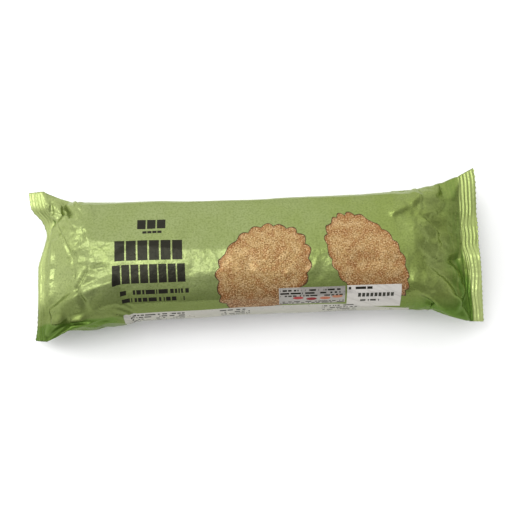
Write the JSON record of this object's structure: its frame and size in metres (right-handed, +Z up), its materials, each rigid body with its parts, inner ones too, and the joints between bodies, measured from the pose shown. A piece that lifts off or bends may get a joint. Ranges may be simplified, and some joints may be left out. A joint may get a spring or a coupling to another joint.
{
  "type": "biscuit pack",
  "caption": "Sealed flow-wrapped tube pack of biscuits in shiny green film, with crimped, toothed seals at both ends.",
  "frame": {"origin": "middle of the pack's footprint, on the surface that it lies on", "axes": "+X along the pack, towards the flatter end seal; +Y away from the viewer; +Z up, out of the printed front"},
  "size_m": [0.2636, 0.091, 0.0485],
  "materials": {
    "film": "satin metallised green film with printed fields of colour"
  },
  "bodies": {
    "root": {"pack": "film"}
  },
  "joints": []
}
